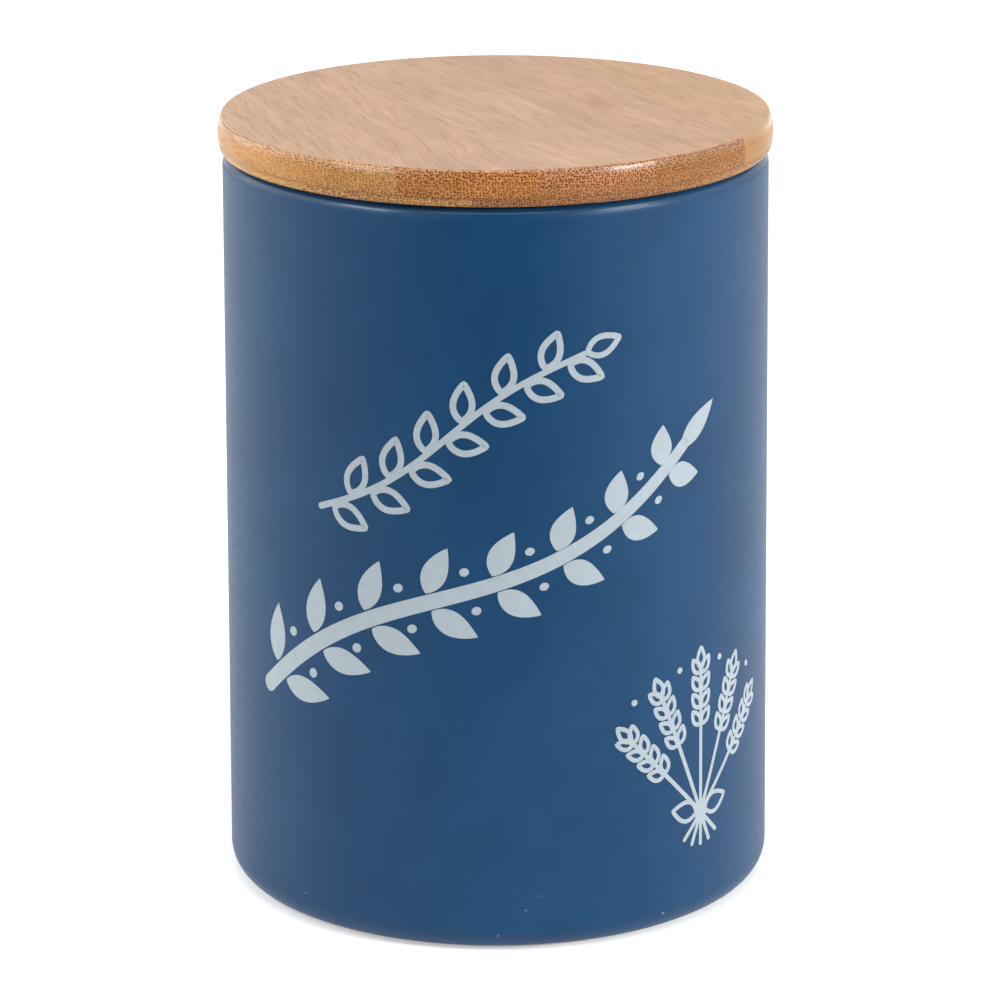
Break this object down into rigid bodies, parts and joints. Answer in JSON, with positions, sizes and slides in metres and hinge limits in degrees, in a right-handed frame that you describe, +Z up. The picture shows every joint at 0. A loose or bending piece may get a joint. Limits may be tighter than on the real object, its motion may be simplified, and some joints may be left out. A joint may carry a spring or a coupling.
{
  "type": "biscuit jar",
  "caption": "Round blue stoneware storage jar with a flat laminated bamboo lid that lifts off, held by a lipped silicone seal.",
  "frame": {"origin": "centre of the jar's foot ring, on the surface that it stands on", "axes": "+Z up along the jar's axis; -Y is the front, where the print is"},
  "size_m": [0.105, 0.105, 0.15],
  "materials": {
    "stoneware": "satin",
    "bamboo": "satin",
    "silicone": "satin"
  },
  "bodies": {
    "jar": {"jar_body": "stoneware"},
    "seal": {"seal_ring": "silicone"},
    "lid": {"lid_base_strip_1": "bamboo", "lid_base_strip_2": "bamboo", "lid_base_strip_3": "bamboo", "lid_base_strip_4": "bamboo", "lid_base_strip_5": "bamboo", "lid_core_strip_1": "bamboo", "lid_core_strip_2": "bamboo", "lid_core_strip_3": "bamboo", "lid_core_strip_4": "bamboo", "lid_core_strip_5": "bamboo", "lid_core_strip_6": "bamboo", "lid_top_strip_1": "bamboo", "lid_top_strip_2": "bamboo", "lid_top_strip_3": "bamboo", "lid_top_strip_4": "bamboo", "lid_top_strip_5": "bamboo"}
  },
  "joints": [
    {"name": "lid_lift", "type": "slide", "parent": "jar", "child": "seal", "axis": [0, 0, 1], "range_m": [0, 0.12]},
    {"name": "lid_turn", "type": "hinge", "parent": "seal", "child": "lid", "pos_m": [0, 0, 0.143], "axis": [0, 0, 1], "continuous": true}
  ]
}
